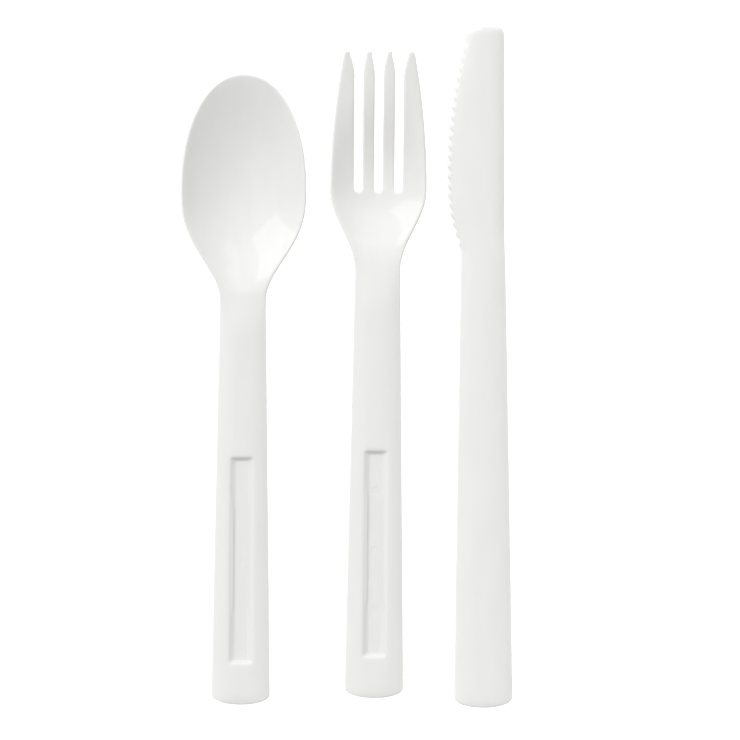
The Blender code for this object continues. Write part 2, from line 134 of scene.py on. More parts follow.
class Outline:
    """One side of a utensil in plan, from the middle of its end to the middle of its tip."""

    def __init__(self, points: list[tuple[float, float]]) -> None:
        """Keeps the points and their places along the axis."""
        self.points = points
        self.places = [y for _, y in points]

    @classmethod
    def of(cls, half_width: Width, length: float) -> "Outline":
        """Samples a half width, closest in points at both ends.

        Args:
            half_width: The half width at a place.
            length: The utensil's length.

        Returns:
            The outline.
        """
        points = []
        for step in range(1, OUTLINE_POINTS):
            place = length * (1.0 - math.cos(math.pi * step / OUTLINE_POINTS)) / 2
            points.append((half_width(place), place))
        return cls([(0.0, 0.0)] + points + [(half_width(length), length), (0.0, length)])

    def inset(self, distance: Width) -> "Outline":
        """Draws the outline in along its normals.

        Args:
            distance: How far, at a place.

        Returns:
            The narrower outline.
        """
        moved: list[tuple[float, float]] = []
        last = len(self.points) - 1
        for index, (x, y) in enumerate(self.points):
            before = Vector(self.points[max(index - 1, 0)])
            after = Vector(self.points[min(index + 1, last)])
            along = after - before
            if index in (0, last) or along.length == 0.0:
                along = Vector((1.0 if index < last / 2 else -1.0, 0.0))
            along.normalize()
            point = (max(x - along.y * distance(y), 0.0), y + along.x * distance(y))
            if not moved or point[1] > moved[-1][1]:
                moved.append(point)
        return Outline(moved)

    def half(self, place: float) -> float:
        """Finds the half width at a place.

        Args:
            place: The distance from the handle's end.

        Returns:
            The half width there.
        """
        index = min(max(bisect.bisect_left(self.places, place), 1), len(self.places) - 1)
        (x0, y0), (x1, y1) = self.points[index - 1], self.points[index]
        share = 0.0 if y1 <= y0 else min(max((place - y0) / (y1 - y0), 0.0), 1.0)
        return mix(x0, x1, share)

    def reach(self, start: float, half: float, towards_tip: bool) -> float:
        """Finds how far the outline runs on past a place before it is as narrow as a half width.

        Args:
            start: The place to measure from.
            half: The half width.
            towards_tip: True to measure towards the tip, False towards the handle's end.

        Returns:
            The distance from start.
        """
        low, high = start, self.places[-1] if towards_tip else self.places[0]
        for _ in range(40):
            middle = (low + high) / 2
            if self.half(middle) > half:
                low = middle
            else:
                high = middle
        return abs(low - start)


@dataclass(frozen=True)
class Handle:
    """The handle that all three utensils share: a domed shell that narrows to the neck."""

    width: float = 0.0166
    taper: float = 0.0323
    end_round: float = 0.0029
    edge: float = 0.0032
    dome: float = 0.0009
    dome_power: float = 2.8
    end_slope: float = 0.0026
    end_fall: float = 0.35  # the share of the dome's rise that is lost at the end
    fillet: float = 0.00055
    side_wall: float = 0.0011
    wall: float = 0.0012

    def half(self, place: float) -> float:
        """Half the handle's width at a distance from its end."""
        half = (self.width - self.taper * place) / 2
        return half * rounded(1.0 - place / self.end_round, 2.0)

    def crown(self, place: float) -> float:
        """Rise of the dome at a distance from the end."""
        near = max(1.0 - place / self.end_slope, 0.0)
        return self.dome * (1.0 - self.end_fall * near**2)


@dataclass(frozen=True)
class MouldedPolystyrene:
    """Injection-moulded white polystyrene: a hard skin with a clear gloss over a body that lets a
    little light in, which keeps its shadows pale. The polished mould leaves faint waves."""

    body: str = "E9E9E7"
    shade: str = "E4E4E2"
    roughness: float = 0.045
    ior: float = 1.55
    flow_mm: float = 14.0  # how long the flow marks are
    wave_mm: float = 5.0  # how wide the waves in the gloss are
    pit_mm: float = 0.35  # grain of the mould's polish, drawn as coarse as it needs to show
    wave_height_mm: float = 0.004
    pit_height_mm: float = 0.0006

    def dress(self, piece: bpy.types.Object, turn: float) -> None:
        """Gives a piece this finish.

        Args:
            piece: The piece.
            turn: How far the piece is turned in plan, for the flow marks along it.
        """
        material = bpy.data.materials.new(piece.name + "_moulded_polystyrene")
        material.use_nodes = True
        tree = material.node_tree
        shader = tree.nodes["Principled BSDF"]
        shader.inputs["IOR"].default_value = self.ior
        shader.inputs["Metallic"].default_value = 0.0
        shader.inputs["Subsurface Weight"].default_value = 0.12
        shader.inputs["Subsurface Radius"].default_value = (1.0, 0.95, 0.9)
        shader.inputs["Subsurface Scale"].default_value = 0.0009
        place = add_node(tree, "ShaderNodeTexCoord")
        along = add_node(
            tree,
            "ShaderNodeMapping",
            links={"Vector": place.outputs["Object"]},
            Rotation=(0.0, 0.0, -turn),
            Scale=(1.0, 0.25, 1.0),
        )
        flow = self.noise(tree, along.outputs["Vector"], self.flow_mm / 4, 3.0)
        tint = add_node(
            tree,
            "ShaderNodeMix",
            {"data_type": "RGBA"},
            {"Factor": flow},
        )
        for slot, value in (("A", self.body), ("B", self.shade)):
            socket = next(s for s in tint.inputs if s.name == slot and s.type == "RGBA")
            socket.default_value = linear(value)
        colour = next(s for s in tint.outputs if s.type == "RGBA")
        tree.links.new(colour, shader.inputs["Base Color"])
        gloss = add_node(
            tree,
            "ShaderNodeMapRange",
            links={"Value": self.noise(tree, place.outputs["Object"], self.wave_mm, 2.0)},
            **{"To Min": self.roughness * 0.9, "To Max": self.roughness * 1.12},
        )
        tree.links.new(gloss.outputs["Result"], shader.inputs["Roughness"])
        normal = None
        for size, height in (
            (self.wave_mm, self.wave_height_mm),
            (self.pit_mm, self.pit_height_mm),
        ):
            links = {"Height": self.noise(tree, place.outputs["Object"], size, 2.0)}
            if normal:
                links["Normal"] = normal
            bump = add_node(
                tree, "ShaderNodeBump", links=links, Strength=1.0, Distance=height / 1000
            )
            normal = bump.outputs["Normal"]
        tree.links.new(normal, shader.inputs["Normal"])
        piece.data.materials.clear()
        piece.data.materials.append(material)

    def noise(
        self,
        tree: bpy.types.NodeTree,
        place: bpy.types.NodeSocket,
        size_mm: float,
        detail: float,
    ) -> bpy.types.NodeSocket:
        """Adds noise whose blotches have a real size.

        Args:
            tree: The node tree.
            place: The coordinates.
            size_mm: The width of a blotch in millimetres.
            detail: How many finer layers lie on it.

        Returns:
            The noise's value.
        """
        made = add_node(
            tree,
            "ShaderNodeTexNoise",
            links={"Vector": place},
            Scale=1000.0 / size_mm,
            Detail=detail,
            Roughness=0.5,
        )
        return made.outputs[0]


def linear(colour: str) -> tuple[float, float, float, float]:
    """Turns an sRGB hex colour to linear.

    Args:
        colour: Six hex digits.

    Returns:
        Red, green, blue and an alpha of 1.
    """
    shares = [int(colour[start : start + 2], 16) / 255 for start in (0, 2, 4)]
    turned = [c / 12.92 if c <= 0.04045 else ((c + 0.055) / 1.055) ** 2.4 for c in shares]
    return (turned[0], turned[1], turned[2], 1.0)


def add_node(
    tree: bpy.types.NodeTree,
    kind: str,
    settings: dict[str, object] | None = None,
    links: dict[str, bpy.types.NodeSocket] | None = None,
    **values: object,
) -> bpy.types.Node:
    """Adds a node with its settings, links and input values.

    Args:
        tree: The node tree.
        kind: The node's type.
        settings: The node's own options.
        links: The output that feeds each named input.
        values: The value of each other named input.

    Returns:
        The node.
    """
    node = tree.nodes.new(kind)
    for name, value in (settings or {}).items():
        setattr(node, name, value)
    for name, value in values.items():
        node.inputs[name].default_value = value
    for name, output in (links or {}).items():
        tree.links.new(output, node.inputs[name])
    return node


@dataclass
class Utensil:
    """One moulding of the set, with its handle's end at a place in the frame."""

    name: str
    length: float
    x: float
    y: float
    turn: float = 0.0
    handle: Handle = field(default_factory=Handle)
    finish: MouldedPolystyrene = field(default_factory=MouldedPolystyrene)
    tip_cap: float = 0.0021  # how far the last row lies from the tip
    tip_bend: float = CAP_BEND
    draft: float = 0.00008  # how far the side wall's foot stands out past its top

    def half(self, side: Side, place: float) -> float:
        """Half width of the outline on a side."""
        return self.handle.half(place)

    def edge(self, place: float) -> float:
        """Height of the skin's edge."""
        return self.handle.edge

    def dome(self, place: float) -> float:
        """How far the skin's middle rises above its edge."""
        return self.handle.crown(place)

    def dish(self, place: float) -> float:
        """How far the head is hollowed between its edges."""
        return 0.0

    def wall(self, place: float) -> float:
        """Thickness of the dome or the head."""
        return self.handle.wall

    def skirt(self, x: float, place: float) -> float:
        """How far the side wall reaches below the skin's edge."""
        return self.edge(place)

    def fillet(self, place: float) -> float:
        """Radius of the rounded edge."""
        return self.handle.fillet

    def side_wall(self, place: float) -> float:
        """Thickness of the side wall."""
        return self.handle.side_wall

    def rows(self) -> list[float]:
        """The grid's places along the axis."""
        raise NotImplementedError

    def anchors(self, plan: "Plan", side: Side, place: float) -> dict[int, float]:
        """Where some of the grid's lines lie on a side: the others lie evenly between them."""
        return {0: 0.0, COLUMNS: plan.half(side, place)}

    def is_gap(self, rows: list[float], row: int, column: int) -> bool:
        """True where the grid's cell after a row and a column is open."""
        return False

    def pinned(self, plan: "Plan", row: int, column: int) -> tuple[float, float] | None:
        """The plan position of a grid point that follows a curve of its own."""
        return None

    def relief(self, x: float, place: float) -> float:
        """What is taken off the skin's height beside its dome and its dish."""
        return 0.0

    def carve(self, moulding: "Moulding") -> None:
        """Adds what lies inside the skin, such as a recess."""

    def build(self) -> bpy.types.Object:
        """Builds, places and dresses the utensil.

        Returns:
            The finished piece.
        """
        moulding = Moulding(self)
        self.carve(moulding)
        return moulding.finish()


class Plan:
    """A grid in plan, inside a utensil's outline drawn in by a distance."""

    def __init__(self, utensil: Utensil, distance: Width) -> None:
        """Draws the outlines in.

        Args:
            utensil: The utensil.
            distance: How far, at a place.
        """
        self.utensil = utensil
        self.distance = distance
        self.rows = utensil.rows()
        self.outlines = {
            side: Outline.of(lambda place, s=side: utensil.half(s, place), utensil.length).inset(
                distance
            )
            for side in Side
        }
        self.lines: dict[tuple[Side, int], list[float]] = {}

    def half(self, side: Side, place: float) -> float:
        """Half width of the narrower outline."""
        return self.outlines[side].half(place)

    def across(self, row: int, column: int) -> float:
        """Finds where a grid line crosses a row.

        Args:
            row: The row's number.
            column: The line's number, negative on the left.

        Returns:
            The position across.
        """
        side = Side.LEFT if column < 0 else Side.RIGHT
        if (side, row) not in self.lines:
            anchors = self.utensil.anchors(self, side, self.rows[row])
            known = sorted(anchors)
            line = []
            for low, high in zip(known, known[1:]):
                count = high - low
                line += [mix(anchors[low], anchors[high], step / count) for step in range(count)]
            self.lines[side, row] = line + [anchors[known[-1]]]
        return side.value * self.lines[side, row][abs(column)]

    def at(self, row: int, column: int) -> tuple[float, float]:
        """Finds a grid point in plan: the rows bend into the outline's ends.

        Args:
            row: The row's number.
            column: The line's number.

        Returns:
            The position across and along.
        """
        pinned = self.utensil.pinned(self, row, column)
        if pinned:
            return pinned
        place, first, last = self.rows[row], self.rows[0], self.rows[-1]
        side = self.outlines[Side.LEFT if column < 0 else Side.RIGHT]
        y = place
        end_bend = 1.0 - ease(first, first + CAP_BEND, place)
        tip_bend = ease(last - self.utensil.tip_bend, last, place)
        if end_bend:
            y -= end_bend * side.reach(first, abs(self.across(0, column)), False)
        if tip_bend:
            top = len(self.rows) - 1
            y += tip_bend * side.reach(last, abs(self.across(top, column)), True)
        return self.across(row, column), y


class Moulding:
    """A utensil's closed mesh: underside, side wall and skin."""

    def __init__(self, utensil: Utensil) -> None:
        """Builds the mesh up from the underside.

        Args:
            utensil: The utensil whose sizes it takes.
        """
        self.utensil = utensil
        self.skin_plan = Plan(utensil, utensil.fillet)
        self.under_plan = Plan(utensil, utensil.side_wall)
        self.rows = self.skin_plan.rows
        self.mesh = bmesh.new()
        self.row = self.mesh.verts.layers.int.new("row")
        self.column = self.mesh.verts.layers.int.new("column")
        self.underside = self.grid()
        self.base = self.skin_places()
        self.normals = self.edge_normals()
        self.skin = self.raise_wall()

    def key(self, vert: bmesh.types.BMVert) -> Key:
        """The row and the column that a vertex belongs to."""
        return vert[self.row], vert[self.column]

    def height(self, x: float, y: float) -> float:
        """Finds the skin's height.

        Args:
            x: The position across.
            y: The position along.

        Returns:
            The height above the table.
        """
        made = self.utensil
        side = Side.LEFT if x < 0 else Side.RIGHT
        half = self.skin_plan.half(side, max(y, self.rows[0]))
        share = min(abs(x) / half, 1.0) if half > TINY else 1.0
        dome = made.dome(y) * (1.0 - share**made.handle.dome_power)
        return made.edge(y) + dome - made.dish(y) * (1.0 - share * share) - made.relief(x, y)

    def grid(self) -> list[bmesh.types.BMFace]:
        """Makes the underside's grid, without the cells that are gaps.

        Returns:
            Its faces.
        """
        count = len(self.rows) - 1
        made = bmesh.ops.create_grid(
            self.mesh, x_segments=2 * COLUMNS, y_segments=count, size=1.0
        )
        for vert in made["verts"]:
            vert[self.row] = round((vert.co.y + 1) / 2 * count)
            vert[self.column] = round(vert.co.x * COLUMNS)
        gaps = []
        for face in self.mesh.faces:
            keys = [self.key(vert) for vert in face.verts]
            row, column = min(k[0] for k in keys), min(k[1] for k in keys)
            if self.utensil.is_gap(self.rows, row, column):
                gaps.append(face)
        bmesh.ops.delete(self.mesh, geom=gaps, context="FACES")
        for vert in self.mesh.verts:
            x, y = self.under_plan.at(*self.key(vert))
            vert.co = (x, y, self.height(x, y) - self.utensil.wall(y))
        return list(self.mesh.faces)

    def skin_places(self) -> dict[Key, Vector]:
        """Finds the skin's points.

        Returns:
            Each point by its row and column.
        """
        places = {}
        for vert in self.mesh.verts:
            key = self.key(vert)
            x, y = self.skin_plan.at(*key)
            places[key] = Vector((x, y, self.height(x, y)))
        return places

    def edge_normals(self) -> dict[Key, Vector]:
        """Walks round the skin's edge.

        Returns:
            The plan direction away from the skin at each point of its edge.
        """
        edges = [edge for edge in self.mesh.edges if edge.is_boundary]
        start = edges[0].verts[0]
        loop, edge = [start], edges[0]
        while True:
            vert = edge.other_vert(loop[-1])
            if vert is start:
                break
            loop.append(vert)
            edge = next(e for e in vert.link_edges if e.is_boundary and e is not edge)
        keys = [self.key(vert) for vert in loop]
        points = [self.base[key] for key in keys]
        area = sum(a.x * b.y - b.x * a.y for a, b in zip(points, points[1:] + points[:1]))
        turn = math.copysign(1.0, area)
        normals = {}
        for index, key in enumerate(keys):
            after, before = points[(index + 1) % len(points)], points[index - 1]
            ahead = (after - points[index]).to_2d().normalized()
            behind = (points[index] - before).to_2d().normalized()
            along = ahead + behind
            normals[key] = Vector((along.y, -along.x, 0.0)).normalized() * turn
        return normals

    def wall_rings(self, key: Key) -> list[Vector]:
        """Finds the side wall's section at a point of the skin's edge.

        Args:
            key: The point's row and column.

        Returns:
            Its points, from the underside up to just below the skin.
        """
        made, base, normal = self.utensil, self.base[key], self.normals[key]
        radius, thick = made.fillet(base.y), made.side_wall(base.y)
        foot = base.z - made.skirt(base.x, base.y)
        under = base.z - made.wall(base.y)
        hollow = under > foot
        low_corner = min(0.25 * (base.z - foot), 0.0003)
        section = [
            (0.85 * thick, mix(under, foot, 0.90 if hollow else 0.15)),
            (0.62 * thick, mix(under, foot, 1.00 if hollow else 0.45)),
            (min(0.25 * thick, 0.0003), mix(under, foot, 1.0 if hollow else 0.85)),
            (0.0, foot + low_corner),
        ]
        reach = radius - made.draft
        for angle in (90.0, 60.0, 30.0):
            out = reach * math.sin(math.radians(angle))
            down = min(reach, 0.6 * (base.z - foot)) * (1.0 - math.cos(math.radians(angle)))
            section.append((radius - out, base.z - down))
        return [
            Vector((*(base + normal * (radius - inset)).xy, height)) for inset, height in section
        ]

    def extrude(
        self, faces: list[bmesh.types.BMFace], place: Callable[[Key], Vector | None]
    ) -> list[bmesh.types.BMFace]:
        """Extrudes a region of the mesh and moves its points.

        Args:
            faces: The region.
            place: The new place of a row and column's point, or None to leave it.

        Returns:
            The moved region.
        """
        edges = dict.fromkeys(edge for face in faces for edge in face.edges)
        verts = dict.fromkeys(vert for face in faces for vert in face.verts)
        whole = [*verts, *edges, *faces]
        made = bmesh.ops.extrude_face_region(self.mesh, geom=whole)["geom"]
        region = [item for item in made if isinstance(item, bmesh.types.BMFace)]
        for vert in {vert for face in region for vert in face.verts}:
            spot = place(self.key(vert))
            if spot is not None:
                vert.co = spot
        return region

    def raise_wall(self) -> list[bmesh.types.BMFace]:
        """Extrudes the underside's grid up through the side wall to the skin.

        Returns:
            The skin's faces.
        """
        sections = {key: self.wall_rings(key) for key in self.normals}
        region = self.underside
        for level in range(len(next(iter(sections.values())))):
            region = self.extrude(
                region, lambda key, n=level: sections[key][n] if key in sections else None
            )
        return self.extrude(region, lambda key: self.base[key])

    def finish(self) -> bpy.types.Object:
        """Places the mesh in the frame and makes it a dressed piece.

        Returns:
            The piece.
        """
        made = self.utensil
        self.mesh.verts.layers.int.remove(self.mesh.verts.layers.int["column"])
        self.mesh.verts.layers.int.remove(self.mesh.verts.layers.int["row"])
        bmesh.ops.recalc_face_normals(self.mesh, faces=self.mesh.faces)
        bmesh.ops.rotate(
            self.mesh, verts=self.mesh.verts, cent=(0, 0, 0), matrix=Matrix.Rotation(made.turn, 3, "Z")
        )
        bmesh.ops.translate(self.mesh, verts=self.mesh.verts, vec=(made.x, made.y, 0.0))
        data = bpy.data.meshes.new(made.name + "_moulding")
        self.mesh.to_mesh(data)
        self.mesh.free()
        data.shade_smooth()
        piece = bpy.data.objects.new(made.name + "_moulding", data)
        bpy.context.scene.collection.objects.link(piece)
        smooth = piece.modifiers.new("smooth", "SUBSURF")
        smooth.levels = 1
        smooth.render_levels = 1
        made.finish.dress(piece, made.turn)
        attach(piece, "root")
        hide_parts(made.name)
        return piece


@dataclass
class Recess:
    """The long recess in a handle, where the next utensil clips in under its two snap beads."""

    start: float = 0.0118
    length: float = 0.0568
    width: float = 0.0058
    floor_width: float = 0.0038
    depth: float = 0.0010
    lip: float = 0.0010  # how wide the mouth's rounded edge is in plan
    lip_fall: float = 0.0004
    corner: float = 0.0006
    end_share: float = 0.6  # the end walls' width in plan, as a share of the side walls'
    wall: float = 0.0010
    floor_fillet: float = 0.0002
    bead_start: float = 0.0267
    bead_end: float = 0.0553
    bead_reach: float = 0.00042
    bead_depth: float = 0.0002
    bead_step: float = 0.0003  # half the length over which a bead begins or ends
    mark: Mark = Mark.DOT
    mark_depth: float = 0.00007
    mark_rim: float = 0.00016
    mark_places: tuple[float, ...] = (0.0156, 0.0400, 0.0595)

    @property
    def mouth(self) -> tuple[float, float]:
        """The ends of the mouth's outer edge."""
        return self.start - self.lip, self.start + self.length + self.lip

    def spans(self) -> list[tuple[float, float]]:
        """Finds the grid's spans from the handle's end to just past the recess.

        Returns:
            For each span, the place where it ends and the widest step within it.
        """
        near, far = self.mouth
        return [
            (near - 0.0012, 0.0009),
            (near, 0.0004),
            (near + 0.0016, 0.0003),
            (self.bead_start - 0.0005, 0.0020),
            (self.bead_start + 0.0005, 0.00025),
            (self.bead_end - 0.0005, 0.0020),
            (self.bead_end + 0.0005, 0.00025),
            (far - 0.0016, 0.0020),
            (far, 0.0003),
            (far + 0.0012, 0.0004),
        ]

    def ring(
        self, row: float, column: int, half_width: float, inset: float, corner: float
    ) -> tuple[float, float]:
        """Finds a point on a rounded rectangle inside the mouth.

        Args:
            row: The place of the point's row on the skin.
            column: The point's grid line.
            half_width: The rectangle's half width.
            inset: How far its ends lie inside the mouth's ends.
            corner: The radius of its corners.

        Returns:
            The position across and along.
        """
        near, far = self.mouth
        middle, half_length = (near + far) / 2, (far - near) / 2 - inset
        u = column / MOUTH_COLUMN
        v = (row - middle) / ((far - near) / 2)
        x, y = u * half_width, v * half_length
        along_side = half_length * (1.0 - abs(v))
        along_end = half_width * (1.0 - abs(u))
        if abs(abs(u) - 1.0) < TINY and along_side < corner:
            angle = HALF_CORNER * (1.0 - along_side / corner)
        elif abs(abs(v) - 1.0) < TINY and along_end < corner:
            angle = HALF_CORNER * (1.0 + along_end / corner)
        else:
            return x, middle + y
        x = math.copysign(half_width - corner + corner * math.cos(angle), u)
        y = math.copysign(half_length - corner + corner * math.sin(angle), v)
        return x, middle + y

    def bead(self, place: float) -> float:
        """Finds how much of the bead stands at a place: all of it between its ends.

        Args:
            place: The distance from the handle's end.

        Returns:
            The share of the bead's reach.
        """
        step = self.bead_step
        rise = ease(self.bead_start - step, self.bead_start + step, place)
        return rise * (1.0 - ease(self.bead_end - step, self.bead_end + step, place))

    def cut(self, moulding: Moulding) -> None:
        """Sinks the recess into a skin and hangs its box below the dome.

        Args:
            moulding: The mesh.
        """
        rows, top = moulding.rows, moulding.height
        half = self.width / 2
        slope = (self.width - self.floor_width) / 2 / (self.depth - self.lip_fall)

        def sunk(
            narrower: float, down: float, corner: float, bead: float = 0.0
        ) -> Callable[[Key], Vector]:
            """Lays a ring below the mouth, and the patch inside it.

            Args:
                narrower: How far its sides lie inside the mouth's.
                down: Its depth below the skin's middle.
                corner: The radius of its corners.
                bead: How far the beads stand out of its sides.

            Returns:
                What finds the place of each of its points.
            """
            inset = self.lip + narrower * self.end_share

            def place(key: Key) -> Vector:
                """Finds a point of the ring or the patch.

                Args:
                    key: Its row and column.

                Returns:
                    Its place.
                """
                x, y = self.ring(rows[key[0]], key[1], half - narrower, inset, corner)
                if abs(key[1]) == MOUTH_COLUMN:
                    x -= math.copysign(bead * self.bead(y), x)
                return Vector((x, y, top(0.0, y) - down))

            return place

        def on_lip(share: float) -> Callable[[Key], Vector]:
            """Lays a ring on the mouth's rounded edge.

            Args:
                share: How far round the edge it lies: 0 at the skin, 1 at the wall.

            Returns:
                What finds the place of each of its points.
            """
            out = self.lip * (1.0 - math.sin(math.radians(90 * share)))
            fall = self.lip_fall * (1.0 - math.cos(math.radians(90 * share)))

            def place(key: Key) -> Vector:
                """Finds a point of the ring.

                Args:
                    key: Its row and column.

                Returns:
                    Its place.
                """
                row = rows[key[0]]
                x, y = self.ring(row, key[1], half + out, self.lip - out, self.corner + out)
                return Vector((x, y, top(x, y) - fall))

            return place

        patch = self.patch(moulding, moulding.skin)
        for share in (1 / 3, 2 / 3):
            patch = moulding.extrude(patch, on_lip(share))
        walls = (  # the depth of each ring, and the share of the beads' reach there
            (self.lip_fall, 0.0),
            (self.lip_fall + self.bead_depth * 0.55, 0.55),
            (self.lip_fall + self.bead_depth, 1.0),
            (self.lip_fall + self.bead_depth * 1.25, 0.85),
            (self.lip_fall + self.bead_depth * 1.35, 0.0),
            (self.depth - self.floor_fillet * 1.5, 0.0),
        )
        for down, bead in walls:
            narrower = (down - self.lip_fall) * slope
            patch = moulding.extrude(
                patch, sunk(narrower, down, self.corner, self.bead_reach * bead)
            )
        floor_inset = half - self.floor_width / 2
        for share in (0.45, 1.0):
            narrower = floor_inset + self.floor_fillet * (share - 0.1)
            down = self.depth - self.floor_fillet * 0.5 * (1.0 - share)
            patch = moulding.extrude(patch, sunk(narrower, down, self.corner * 0.7))
        self.mark_floor(moulding, patch)
        self.hang_box(moulding)

    def patch(
        self, moulding: Moulding, faces: list[bmesh.types.BMFace]
    ) -> list[bmesh.types.BMFace]:
        """Picks the faces inside the mouth's grid lines.

        Args:
            moulding: The mesh.
            faces: The faces to pick from.

        Returns:
            Those inside.
        """
        near, far = self.mouth
        inside = []
        for face in faces:
            keys = [moulding.key(vert) for vert in face.verts]
            across = all(abs(column) <= MOUTH_COLUMN for _, column in keys)
            if across and all(near - TINY <= moulding.rows[row] <= far + TINY for row, _ in keys):
                inside.append(face)
        return inside

    def mark_floor(self, moulding: Moulding, patch: list[bmesh.types.BMFace]) -> None:
        """Presses the ejector pins' marks into the floor.

        Args:
            moulding: The mesh.
            patch: The floor's faces.
        """
        radius = self.mark.value
        reach = 0.0028  # how far round a mark the floor's grid is made finer
        for spot in self.mark_places:
            middle = Vector((0.0, spot, 0.0))
            edges = {
                edge
                for face in patch
                if face.is_valid
                for edge in face.edges
                if all((v.co.xy - middle.xy).length < reach for v in edge.verts)
                and all(abs(moulding.key(v)[1]) < MOUTH_COLUMN for v in edge.verts)
            }
            cut = bmesh.ops.subdivide_edges(
                moulding.mesh, edges=list(edges), cuts=5, use_grid_fill=True
            )
            verts = dict.fromkeys(v for v in cut["geom"] if isinstance(v, bmesh.types.BMVert))
            for vert in verts:
                away = (vert.co.xy - middle.xy).length
                within = 1.0 - ease(radius - self.mark_rim, radius, away)
                vert.co.z -= self.mark_depth * within

    def hang_box(self, moulding: Moulding) -> None:
        """Extrudes the recess's box down from the underside to the table.

        Args:
            moulding: The mesh.
        """
        rows = moulding.rows
        outer = self.width / 2 + self.wall

        def ring(narrower: float, height: float | None) -> Callable[[Key], Vector]:
            """Lays a ring of the box.

            Args:
                narrower: How far it lies inside the box's outer side.
                height: Its height, or None to follow the dome's underside.

            Returns:
                What finds the place of each of its points.
            """

            def place(key: Key) -> Vector:
                """Finds a point of the ring.

                Args:
                    key: Its row and column.

                Returns:
                    Its place.
                """
                x, y = self.ring(rows[key[0]], key[1], outer - narrower, narrower, self.corner)
                under = moulding.height(x, y) - moulding.utensil.wall(y)
                return Vector((x, y, under - 0.0003 if height is None else height))

            return place

        patch = self.patch(moulding, moulding.underside)
        for narrower, height in ((0.0, None), (0.0006, 0.0004), (0.0008, 0.0), (0.0012, 0.0)):
            patch = moulding.extrude(patch, ring(narrower, height))


@dataclass
class RecessedUtensil(Utensil):
    """A utensil with a recess in its handle and a hollowed head with a low, fine rim."""

    recess: Recess = field(default_factory=Recess)
    rim: float = 0.0010
    rim_fillet: float = 0.00062
    rim_wall: float = 0.0009
    rim_rise: float = 0.012  # how far past the neck the side wall has become the low rim
    neck: float = field(init=False)
    widest: float = field(init=False)
    rise: float = field(init=False)

    def head(self, place: float) -> float:
        """0 on the handle, 1 from just past the neck."""
        return ease(self.neck, self.neck + 0.01, place)

    def skirt(self, x: float, place: float) -> float:
        """The side wall: down to the table along the recess, a low rim round the head."""
        start = self.recess.mouth[1]
        return mix(self.edge(place), self.rim, ease(start, self.neck + self.rim_rise, place))

    def fillet(self, place: float) -> float:
        """The rounded edge, finer round the head."""
        return mix(self.handle.fillet, self.rim_fillet, self.head(place))

    def side_wall(self, place: float) -> float:
        """The side wall, thinner round the head."""
        return mix(self.handle.side_wall, self.rim_wall, self.head(place))

    def mouth_half(self, plan: Plan) -> float:
        """Half the width between the lines along the mouth, or along the box on the underside."""
        under = plan.distance(0.0) > self.handle.fillet
        return self.recess.width / 2 + (self.recess.wall if under else self.recess.lip)

    def pinned(self, plan: Plan, row: int, column: int) -> tuple[float, float] | None:
        """Rounds the corners of the recess's mouth.

        Args:
            plan: The grid.
            row: The point's row.
            column: The point's line.

        Returns:
            Its position across and along, or None away from the mouth's edge.
        """
        near, far = self.recess.mouth
        place = plan.rows[row]
        if abs(column) > MOUTH_COLUMN or not near - TINY <= place <= far + TINY:
            return None
        on_end = min(abs(place - near), abs(place - far)) < TINY
        if abs(column) < MOUTH_COLUMN and not on_end:
            return None
        half = abs(plan.across(row, MOUTH_COLUMN))
        return self.recess.ring(place, column, half, 0.0, self.recess.corner + self.recess.lip)

    def carve(self, moulding: Moulding) -> None:
        """Cuts the recess."""
        self.recess.cut(moulding)


